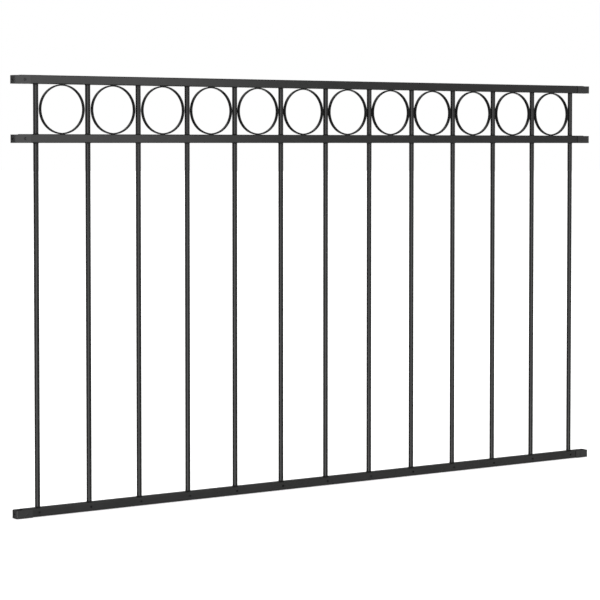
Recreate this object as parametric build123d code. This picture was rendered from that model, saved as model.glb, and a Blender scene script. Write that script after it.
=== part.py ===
from build123d import *
import os

# Steel fence panel: three rails of square tube, upright round bars, a band of rings and U-shaped end brackets.
# Millimetres. X runs along the panel, -Y is its front, Z is up.
# The origin is on the outer face of the lower left bracket, at the middle of its bottom edge.

# Panel
panel_height = 1000.0
bar_count = 13
end_overhang = 58.0  # from an end bar's axis to the outer face of the end bracket

# Rails
rail_size = 20.0
rail_wall = 1.5
rail_corner_radius = 2.0

# Upright bars
bar_diameter = 12.0
bar_wall = 1.2
bar_hole_clearance = 0.15  # around a bar, in a punched rail
bar_top_gap = 2.0  # above a bar, inside the top rail

# Rings, which fill the height between the top and middle rails and set the spacing of the bars
ring_outer_diameter = 113.0
ring_thickness = 3.0
ring_depth = 8.0
ring_bar_gap = 3.5  # from a ring to the bar on each side of it

# End brackets
bracket_length = 40.0
bracket_height = 19.0
bracket_thickness = 2.0
bracket_bend_radius = 0.5  # inside the bend
bracket_rail_clearance = 0.1  # between a flange and the rail
rail_end_gap = 16.0  # from the web of a bracket to the end of its rail
screw_hole_diameter = 6.5

# Derived places
bar_pitch = ring_outer_diameter + 2 * ring_bar_gap + bar_diameter
panel_length = bar_pitch * (bar_count - 1) + 2 * end_overhang
bar_places = [end_overhang + bar_pitch * i for i in range(bar_count)]
rail_start = bracket_thickness + rail_end_gap
rail_length = panel_length - 2 * rail_start
rail_levels = {
    "bottom": 0.0,
    "middle": panel_height - 2 * rail_size - ring_outer_diameter,
    "top": panel_height - rail_size,
}


def square_tube(level):
    """A rail along X with its underside at the given level."""
    bore_size = rail_size - 2 * rail_wall
    bore_radius = max(rail_corner_radius - rail_wall, 0.1)
    outline = RectangleRounded(rail_size, rail_size, rail_corner_radius)
    bore = RectangleRounded(bore_size, bore_size, bore_radius)
    section = Plane.YZ * (outline - bore)
    return Pos(rail_start, 0, level + rail_size / 2) * extrude(section, amount=rail_length)


def punched_rail(level, through_bottom, through_top):
    """A rail with a row of round holes for the bars in one or both of its level walls."""
    rail = square_tube(level)
    hole = Cylinder(bar_diameter / 2 + bar_hole_clearance, 2 * rail_wall)
    for place in bar_places:
        if through_bottom:
            rail -= Pos(place, 0, level + rail_wall / 2) * hole
        if through_top:
            rail -= Pos(place, 0, level + rail_size - rail_wall / 2) * hole
    return rail


def upright_bar(place):
    """A round tube that stands on the floor of the bottom rail and ends inside the top rail."""
    foot = rail_levels["bottom"] + rail_wall
    head = panel_height - rail_wall - bar_top_gap
    section = Circle(bar_diameter / 2) - Circle(bar_diameter / 2 - bar_wall)
    return Pos(place, 0, foot) * extrude(section, amount=head - foot)


def ring(place):
    """A ring of flat steel between the top and middle rails, centred in its bay."""
    centre_height = rail_levels["top"] - ring_outer_diameter / 2
    outer_radius = ring_outer_diameter / 2
    band = Plane.XZ * (Circle(outer_radius) - Circle(outer_radius - ring_thickness))
    return Pos(place, 0, centre_height) * extrude(band, amount=ring_depth / 2, both=True)


def left_bracket():
    """A strip bent to a U around the end of a rail, with a screw hole in its web."""
    inner_width = rail_size + 2 * bracket_rail_clearance
    outer_width = inner_width + 2 * bracket_thickness
    at_web = (Align.MIN, Align.CENTER)
    outside = Rectangle(bracket_length, outer_width, align=at_web)
    outside = fillet(outside.vertices().group_by(Axis.X)[0], bracket_bend_radius + bracket_thickness)
    inside = Pos(bracket_thickness, 0) * Rectangle(bracket_length, inner_width, align=at_web)
    inside = fillet(inside.vertices().group_by(Axis.X)[0], bracket_bend_radius)
    strap = extrude(outside - inside, amount=bracket_height)
    screw_hole = Rot(0, 90, 0) * Cylinder(screw_hole_diameter / 2, 3 * bracket_thickness)
    return strap - Pos(bracket_thickness / 2, 0, bracket_height / 2) * screw_hole


def panel_pieces():
    """Every piece of the panel, by name."""
    pieces = {
        "bottom_rail": punched_rail(rail_levels["bottom"], False, True),
        "middle_rail": punched_rail(rail_levels["middle"], True, True),
        "top_rail": punched_rail(rail_levels["top"], True, False),
    }
    for number, place in enumerate(bar_places, start=1):
        pieces[f"bar_{number:02d}"] = upright_bar(place)
    for number, place in enumerate(bar_places[:-1], start=1):
        pieces[f"ring_{number:02d}"] = ring(place + bar_pitch / 2)
    bracket = left_bracket()
    for rail_name, level in rail_levels.items():
        pieces[f"{rail_name}_left_bracket"] = Pos(0, 0, level) * bracket
        pieces[f"{rail_name}_right_bracket"] = Pos(panel_length, 0, level) * Rot(0, 0, 180) * bracket
    return pieces


os.makedirs("parts", exist_ok=True)
for name, piece in panel_pieces().items():
    export_step(piece, f"parts/{name}.step")
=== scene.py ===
import math
import random

import bmesh
import bpy
from mathutils import Matrix, Vector


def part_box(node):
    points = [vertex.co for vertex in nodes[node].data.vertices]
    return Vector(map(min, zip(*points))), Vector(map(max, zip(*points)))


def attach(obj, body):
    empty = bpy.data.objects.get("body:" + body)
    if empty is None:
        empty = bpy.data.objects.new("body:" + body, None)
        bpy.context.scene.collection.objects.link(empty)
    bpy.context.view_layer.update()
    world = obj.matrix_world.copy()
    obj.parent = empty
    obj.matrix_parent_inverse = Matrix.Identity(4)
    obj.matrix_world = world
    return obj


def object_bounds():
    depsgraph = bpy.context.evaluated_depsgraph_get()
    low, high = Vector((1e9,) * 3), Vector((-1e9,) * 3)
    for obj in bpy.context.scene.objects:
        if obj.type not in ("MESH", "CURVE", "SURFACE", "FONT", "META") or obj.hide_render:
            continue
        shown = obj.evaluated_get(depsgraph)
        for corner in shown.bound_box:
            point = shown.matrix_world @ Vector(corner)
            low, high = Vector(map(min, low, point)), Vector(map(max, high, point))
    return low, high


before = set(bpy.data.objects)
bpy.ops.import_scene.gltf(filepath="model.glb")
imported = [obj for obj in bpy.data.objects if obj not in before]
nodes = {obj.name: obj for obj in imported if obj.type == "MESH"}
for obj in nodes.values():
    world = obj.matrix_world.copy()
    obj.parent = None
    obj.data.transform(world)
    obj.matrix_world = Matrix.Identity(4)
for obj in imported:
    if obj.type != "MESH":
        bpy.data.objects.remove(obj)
cad_low, cad_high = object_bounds()
scene = bpy.context.scene

MM = 0.001
RANDOM = random.Random(11)

# The panel's pieces, by kind
RAILS = ("bottom_rail", "middle_rail", "top_rail")
BARS = sorted(name for name in nodes if name.startswith("bar_"))
RINGS = sorted(name for name in nodes if name.startswith("ring_"))
BRACKETS = sorted(name for name in nodes if name.endswith("_bracket"))


def middle(node):
    low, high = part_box(node)
    return (low + high) / 2


def half_size(node):
    low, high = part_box(node)
    return (high - low) / 2


BAR_RADIUS = half_size(BARS[0]).x
PANEL_MIDDLE = (cad_low + cad_high) / 2

# Welds
FOOT_WELD = {"leg": 2.0 * MM, "height": 3.0 * MM}
RAIL_WELD = {"leg": 1.3 * MM, "height": 1.7 * MM}
WELD_RIPPLE = 0.16  # share of the leg
WELD_WAVES = (3, 7, 11)  # waves around a weld, added up
WELD_ARC_STEPS = 6
TACK_SIZE = Vector((9.0, 2.4, 1.8)) * MM
TACK_SCALES = (0.85, 1.15)
TACK_STRAY = 1.0 * MM
TACK_RIPPLE = 0.12 * MM
TACK_WAVE = 5.6 * MM

# Pins and rivets; their rims and hollows are in shares of the radius and of the height
PIN_RADIUS = 2.4 * MM
PIN_HEIGHT = 0.3 * MM
PIN_DISH = ((1.0, 0.6), (0.93, 1.0), (0.8, 1.0), (0.7, 0.3), (0.35, 0.15))
RIVET_RADIUS = 3.2 * MM
RIVET_HEIGHT = 1.1 * MM
RIVET_RIM = 0.3
RIVET_HOLLOW = (0.2, 0.45)
RIVET_ARC_STEPS = 7
RIVET_FROM_END = 26.0 * MM

# All small pieces
SUNK = 0.1 * MM  # how far a small piece reaches into what carries it
ROUND_STEPS = 40
SHARP_ANGLE = math.radians(50)

# Patterns of the coats and the floor: scales in cells per metre, and depths
CLOUD_SCALE = 9.0
GLOSS_SCALE = 160.0
PEEL_SCALE = 450.0
PEEL_DEPTH = 0.03 * MM
LUMP_SCALE = 700.0
LUMP_DEPTH = 0.2 * MM
GRAIN_SCALE = 6.0
EDGE_WIDTH = 1.2 * MM
EDGE_PALER = 1.35  # times the coat's light tone

# Floor
FLOOR_RADIUS = 60.0
FLOOR_SEGMENTS = 96
FLOOR_GAP = 0.5 * MM  # below the panel
FLOOR_GLOW = 0.3

# Surroundings: what the camera sees, what lights the panel, and what its gloss mirrors between the cards
ROOM_SEEN = 1.0
ROOM_FILL = 1.25
ROOM_MIRRORED = 0.12
CARD_FADE = 2.0  # degrees inside and outside a card's rim

# Softboxes
SOFTBOX_SIZE = 2.0
SOFTBOX_POWER = 12.0
SOFTBOX_DISTANCE = 4.5

# Camera
CAMERA_PLACE = (-2.0558, -4.2477, 0.8456)
CAMERA_DOWN = 2.154  # degrees below level
CAMERA_TURN = -33.673  # degrees from facing the panel's front
LENS_LENGTH = 125.08
LENS_SHIFT = -0.13
SENSOR_WIDTH = 36.0
CLIP_END = 300.0


# Materials

class Nodes:
    """A material's node tree with short ways to add, link and set nodes."""

    def __init__(self, name):
        self.material = bpy.data.materials.new(name)
        self.material.use_nodes = True
        self.tree = self.material.node_tree
        self.shader = self.tree.nodes["Principled BSDF"]
        self.place = self.add("ShaderNodeTexCoord").outputs["Object"]

    def add(self, kind, **settings):
        node = self.tree.nodes.new(kind)
        for key, value in settings.items():
            setattr(node, key, value)
        return node

    def link(self, source, target):
        self.tree.links.new(source, target)

    def feed(self, socket, source):
        """Links an output to one of the shader's sockets."""
        self.link(source, self.shader.inputs[socket])

    def set(self, socket, value):
        """Sets one of the shader's sockets to a constant."""
        self.shader.inputs[socket].default_value = value

    def noise(self, scale, detail, roughness):
        node = self.add("ShaderNodeTexNoise")
        node.inputs["Scale"].default_value = scale
        node.inputs["Detail"].default_value = detail
        node.inputs["Roughness"].default_value = roughness
        self.link(self.place, node.inputs["Vector"])
        return node.outputs["Fac"]

    def ramp(self, value, start, end):
        """Turns a value into greys between two stops, each a position and a level."""
        node = self.add("ShaderNodeValToRGB")
        for stop, (position, level) in zip(node.color_ramp.elements, (start, end)):
            stop.position = position
            stop.color = (level, level, level, 1.0)
        self.link(value, node.inputs["Fac"])
        return node.outputs["Color"]

    def mix(self, factor, first, level):
        """Blends a colour towards a grey level."""
        node = self.add("ShaderNodeMix", data_type="RGBA")
        self.link(factor, node.inputs["Factor"])
        self.link(first, node.inputs["A"])
        node.inputs["B"].default_value = (level, level, level, 1.0)
        return node.outputs["Result"]

    def edges(self, width):
        """Half strength along the sharp edges, nothing on flat and gently curved faces."""
        bevel = self.add("ShaderNodeBevel", samples=4)
        bevel.inputs["Radius"].default_value = width
        geometry = self.add("ShaderNodeNewGeometry")
        turn = self.add("ShaderNodeVectorMath", operation="DOT_PRODUCT")
        self.link(bevel.outputs["Normal"], turn.inputs[0])
        self.link(geometry.outputs["Normal"], turn.inputs[1])
        return self.ramp(turn.outputs["Value"], (0.75, 0.5), (0.97, 0.0))

    def bump(self, height, strength, distance):
        node = self.add("ShaderNodeBump")
        node.inputs["Strength"].default_value = strength
        node.inputs["Distance"].default_value = distance
        self.link(height, node.inputs["Height"])
        self.feed("Normal", node.outputs["Normal"])


def powder_coat(name, dark, light, smooth, rough, shine):
    """Satin powder coat: cloudy near-black, orange-peel skin, and thinner and paler along the edges."""
    coat = Nodes(name)
    clouds = coat.ramp(coat.noise(CLOUD_SCALE, detail=4.0, roughness=0.6), (0.3, dark), (0.72, light))
    coat.feed("Base Color", coat.mix(coat.edges(EDGE_WIDTH), clouds, EDGE_PALER * light))
    gloss = coat.ramp(coat.noise(GLOSS_SCALE, detail=3.0, roughness=0.6), (0.35, smooth), (0.7, rough))
    coat.feed("Roughness", gloss)
    coat.bump(coat.noise(PEEL_SCALE, detail=3.0, roughness=0.45), strength=0.25, distance=PEEL_DEPTH)
    coat.set("Specular IOR Level", shine)
    return coat.material


def weld_coat(name, dark, light, shine):
    """The same coat over a weld or a pin: rougher and lumpy, and darker as painted shade at a bar's foot
    and in a pin's hollow.
    """
    coat = Nodes(name)
    lumps = coat.noise(LUMP_SCALE, detail=4.0, roughness=0.6)
    coat.feed("Base Color", coat.ramp(lumps, (0.3, dark), (0.75, light)))
    coat.feed("Roughness", coat.ramp(lumps, (0.3, 0.5), (0.7, 0.68)))
    coat.bump(lumps, strength=0.5, distance=LUMP_DEPTH)
    coat.set("Specular IOR Level", shine)
    return coat.material


def floor_paint(name):
    """Pale studio floor with a faint grain."""
    paint = Nodes(name)
    grain = paint.noise(GRAIN_SCALE, detail=5.0, roughness=0.6)
    paint.feed("Base Color", paint.ramp(grain, (0.3, 0.88), (0.7, 0.91)))
    paint.set("Roughness", 0.9)
    paint.set("Specular IOR Level", 0.1)
    paint.set("Emission Color", (1.0, 1.0, 1.0, 1.0))
    paint.set("Emission Strength", FLOOR_GLOW)
    return paint.material


GLOSSY = {"smooth": 0.10, "rough": 0.15, "shine": 0.45}
DULL = {"smooth": 0.30, "rough": 0.40, "shine": 0.25}
RAIL_COAT = powder_coat("rail_powder_coat", dark=0.012, light=0.017, **GLOSSY)
# The bars' coat is darker than the rails': painted shade on the bars' flanks.
BAR_SHADED_COAT = powder_coat("bar_coat_painted_shade", dark=0.006, light=0.010, **GLOSSY)
# The rings' coat is darker still: painted shade inside and along the rings.
RING_SHADED_COAT = powder_coat("ring_coat_painted_shade", dark=0.003, light=0.005, **DULL)
# The brackets' coat is lighter than the rails': painted light on the brackets' flanges and their rivets.
BRACKET_LIT_COAT = powder_coat("bracket_coat_painted_light", dark=0.019, light=0.026, **GLOSSY)
# The weld coat's dark tone is painted shade where the bars and rings meet the rails.
WELD_SHADED_COAT = weld_coat("weld_coat_painted_shade", dark=0.004, light=0.010, shine=0.3)
# The pin coat is near black with little shine: painted shade of a hollow on the bottom rail's front.
PIN_SHADED_COAT = weld_coat("pin_coat_painted_shade", dark=0.001, light=0.002, shine=0.08)


def dress(names, material):
    for name in names:
        mesh = nodes[name].data
        mesh.materials.clear()
        mesh.materials.append(material)


dress(RAILS, RAIL_COAT)
dress(BARS, BAR_SHADED_COAT)
dress(RINGS, RING_SHADED_COAT)
dress(BRACKETS, BRACKET_LIT_COAT)


# Small pieces

def add_piece(name, data, material):
    """Turns finished mesh data into a piece of the panel."""
    bmesh.ops.recalc_face_normals(data, faces=data.faces)
    mesh = bpy.data.meshes.new(name)
    data.to_mesh(mesh)
    data.free()
    mesh.materials.append(material)
    mesh.shade_smooth()
    mesh.set_sharp_from_angle(angle=SHARP_ANGLE)
    piece = bpy.data.objects.new(name, mesh)
    scene.collection.objects.link(piece)
    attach(piece, "root")


def revolve(data, profile, place, closed=False, ripple=0.0):
    """Turns a profile of (radius, height) about the local Z axis, as a closed solid.

    A closed profile makes a ring whose outer points are uneven by ripple.
    An open profile gets a cap at each end.
    """
    phases = [RANDOM.uniform(0, math.tau) for _ in WELD_WAVES]
    inner = min(radius for radius, height in profile)
    columns = []
    for step in range(ROUND_STEPS):
        angle = math.tau * step / ROUND_STEPS
        waves = [math.sin(turns * angle + phase) for turns, phase in zip(WELD_WAVES, phases)]
        uneven = sum(waves) / len(waves)
        column = []
        for radius, height in profile:
            reach = inner + (radius - inner) * (1 + ripple * uneven)
            point = Vector((reach * math.cos(angle), reach * math.sin(angle), height))
            column.append(data.verts.new(place @ point))
        columns.append(column)
    spans = len(profile) if closed else len(profile) - 1
    for column, after in zip(columns, columns[1:] + columns[:1]):
        for k in range(spans):
            above = (k + 1) % len(profile)
            data.faces.new((column[k], after[k], after[above], column[above]))
    if not closed:
        data.faces.new([column[0] for column in columns])
        data.faces.new([column[-1] for column in columns])


def quarter_arc(steps):
    """Cosine and sine along a quarter turn, from 0 to 90 degrees."""
    for k in range(steps + 1):
        angle = math.pi / 2 * k / steps
        yield math.cos(angle), math.sin(angle)


def weld_profile(leg, height):
    """A hollow fillet between a bar and the flat that it goes through."""
    arc = quarter_arc(WELD_ARC_STEPS)
    hollow = [(BAR_RADIUS + leg * (1 - sine), height * (1 - cosine)) for cosine, sine in arc]
    inside = BAR_RADIUS - SUNK
    return [(inside, -SUNK), (BAR_RADIUS + leg, -SUNK), *hollow, (inside, height)]


def bar_welds():
    """A fillet weld around each bar where it enters a rail."""
    data = bmesh.new()
    flip = Matrix.Rotation(math.pi, 4, "X")
    rows = (("bottom_rail", "top", FOOT_WELD), ("middle_rail", "top", RAIL_WELD),
            ("middle_rail", "underside", RAIL_WELD), ("top_rail", "underside", RAIL_WELD))
    for bar in BARS:
        axis = middle(bar)
        for rail, face, size in rows:
            low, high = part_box(rail)
            place = Matrix.Translation((axis.x, axis.y, high.z if face == "top" else low.z))
            if face == "underside":
                place = place @ flip
            revolve(data, weld_profile(**size), place, closed=True, ripple=WELD_RIPPLE)
    add_piece("bar_welds", data, WELD_SHADED_COAT)


def ring_welds():
    """Tack welds on both edges of each ring, where it touches the rails above and below."""
    data = bmesh.new()
    for ring in RINGS:
        centre, half = middle(ring), half_size(ring)
        for height in (centre.z - half.z, centre.z + half.z):
            for edge in (centre.y - half.y, centre.y + half.y):
                size = TACK_SIZE * RANDOM.uniform(*TACK_SCALES)
                across = centre.x + RANDOM.uniform(-1, 1) * TACK_STRAY
                shape = Matrix.Translation((across, edge, height)) @ Matrix.Diagonal((*size, 1.0))
                made = bmesh.ops.create_icosphere(data, subdivisions=3, radius=0.5, matrix=shape)
                for vert in made["verts"]:
                    vert.co.z += TACK_RIPPLE * math.sin(math.tau * (vert.co.x - across) / TACK_WAVE)
    add_piece("ring_welds", data, WELD_SHADED_COAT)


def rail_pins():
    """The dished pin on the front of the bottom rail that holds the foot of each bar."""
    data = bmesh.new()
    low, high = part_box("bottom_rail")
    profile = [(PIN_RADIUS, -SUNK)]
    profile += [(across * PIN_RADIUS, up * PIN_HEIGHT) for across, up in PIN_DISH]
    to_front = Matrix.Rotation(math.pi / 2, 4, "X")
    for bar in BARS:
        place = Matrix.Translation((middle(bar).x, low.y, (low.z + high.z) / 2))
        revolve(data, profile, place @ to_front)
    add_piece("rail_pins", data, PIN_SHADED_COAT)


def bracket_rivets():
    """A low rivet head with a hollow centre on the front and back flange of each bracket."""
    data = bmesh.new()
    arc = quarter_arc(RIVET_ARC_STEPS)
    dome = [(RIVET_RIM + (1 - RIVET_RIM) * cosine, sine) for cosine, sine in arc]
    profile = [(RIVET_RADIUS, -SUNK)]
    profile += [(across * RIVET_RADIUS, up * RIVET_HEIGHT) for across, up in (*dome, RIVET_HOLLOW)]
    for bracket in BRACKETS:
        low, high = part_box(bracket)
        along = low.x + RIVET_FROM_END if "left" in bracket else high.x - RIVET_FROM_END
        for flange, turn in ((low.y, math.pi / 2), (high.y, -math.pi / 2)):
            place = Matrix.Translation((along, flange, (low.z + high.z) / 2))
            revolve(data, profile, place @ Matrix.Rotation(turn, 4, "X"))
    add_piece("bracket_rivets", data, BRACKET_LIT_COAT)


bar_welds()
ring_welds()
rail_pins()
bracket_rivets()


# Studio

def towards(azimuth, elevation):
    """Unit vector away from the panel, in degrees: azimuth from ahead of its front to its right."""
    turn, lift = math.radians(azimuth), math.radians(elevation)
    return Vector((math.sin(turn) * math.cos(lift), -math.cos(turn) * math.cos(lift), math.sin(lift)))


# Cards that the gloss mirrors: the direction to each, its half angle in degrees and its brightness
BAR_CARD = (towards(-33.5, -14.0), 20.0, 2.8)  # for the streak down each bar
UPPER_RAIL_CARD = (towards(20.2, 5.0), 12.0, 1.1)  # for the left part of the upper two rails
FRONT_CARD = (towards(35.0, -4.0), 27.0, 0.31)  # for the fronts of the rails
SIDE_CARD = (towards(-110.0, 0.0), 30.0, 0.25)  # for the left end faces
HIGH_CARD = (towards(180.0, 45.0), 25.0, 0.6)  # for the tops of the rails
BACK_CARD = (towards(146.5, -18.0), 13.0, 1.3)  # for the bars and rails seen from behind
LEFT_CARD = (towards(-66.0, -12.0), 20.0, 0.5)  # for the left flank of each bar
CARDS = (BAR_CARD, UPPER_RAIL_CARD, FRONT_CARD, SIDE_CARD, HIGH_CARD, BACK_CARD, LEFT_CARD)


def floor():
    data = bmesh.new()
    bmesh.ops.create_circle(data, cap_ends=True, segments=FLOOR_SEGMENTS, radius=FLOOR_RADIUS)
    mesh = bpy.data.meshes.new("floor")
    data.to_mesh(mesh)
    data.free()
    mesh.materials.append(floor_paint("floor_paint"))
    plane = bpy.data.objects.new("floor", mesh)
    plane.location = (PANEL_MIDDLE.x, 0.0, cad_low.z - FLOOR_GAP)
    plane.visible_glossy = False
    scene.collection.objects.link(plane)


def softbox(name, direction):
    """A square lamp in the given direction, aimed at the middle of the panel."""
    light = bpy.data.lights.new(name, "AREA")
    light.shape = "SQUARE"
    light.size = SOFTBOX_SIZE
    light.energy = SOFTBOX_POWER
    lamp = bpy.data.objects.new(name, light)
    lamp.location = PANEL_MIDDLE + SOFTBOX_DISTANCE * direction
    lamp.rotation_euler = (-direction).to_track_quat("-Z", "Y").to_euler()
    lamp.visible_camera = False
    scene.collection.objects.link(lamp)


def white_room():
    """White surroundings for the camera and the floor.

    A glossy surface mirrors dark ones with pale round cards.
    """
    world = bpy.data.worlds.new("white_room")
    world.use_nodes = True
    tree = world.node_tree
    add, link = tree.nodes.new, tree.links.new
    looking = add("ShaderNodeTexCoord").outputs["Generated"]
    room = None
    for direction, half_angle, brightness in CARDS:
        nearness = add("ShaderNodeVectorMath")
        nearness.operation = "DOT_PRODUCT"
        nearness.inputs[1].default_value = direction
        link(looking, nearness.inputs[0])
        card = add("ShaderNodeMapRange")
        card.interpolation_type = "SMOOTHSTEP"
        card.inputs["From Min"].default_value = math.cos(math.radians(half_angle + CARD_FADE))
        card.inputs["From Max"].default_value = math.cos(math.radians(half_angle - CARD_FADE))
        card.inputs["To Max"].default_value = brightness
        link(nearness.outputs["Value"], card.inputs["Value"])
        total = add("ShaderNodeMath")
        total.inputs[0].default_value = ROOM_MIRRORED
        if room is not None:
            link(room, total.inputs[0])
        link(card.outputs["Result"], total.inputs[1])
        room = total.outputs["Value"]
    path = add("ShaderNodeLightPath")
    level = add("ShaderNodeMix")
    level.inputs["A"].default_value = ROOM_FILL
    link(path.outputs["Is Glossy Ray"], level.inputs["Factor"])
    link(room, level.inputs["B"])
    shown = add("ShaderNodeMix")
    shown.inputs["B"].default_value = ROOM_SEEN
    link(path.outputs["Is Camera Ray"], shown.inputs["Factor"])
    link(level.outputs["Result"], shown.inputs["A"])
    background = tree.nodes["Background"]
    background.inputs["Color"].default_value = (1.0, 1.0, 1.0, 1.0)
    link(shown.outputs["Result"], background.inputs["Strength"])
    scene.world = world


def camera():
    lens = bpy.data.cameras.new("camera")
    lens.sensor_width = SENSOR_WIDTH
    lens.lens = LENS_LENGTH
    lens.shift_y = LENS_SHIFT
    lens.clip_end = CLIP_END
    body = bpy.data.objects.new("camera", lens)
    body.location = CAMERA_PLACE
    body.rotation_euler = (math.radians(90 - CAMERA_DOWN), 0.0, math.radians(CAMERA_TURN))
    scene.collection.objects.link(body)
    scene.camera = body


floor()
white_room()
softbox("front_softbox", towards(-20.0, 25.0))
softbox("back_softbox", towards(180.0, 60.0))
camera()
scene.view_settings.view_transform = "Standard"
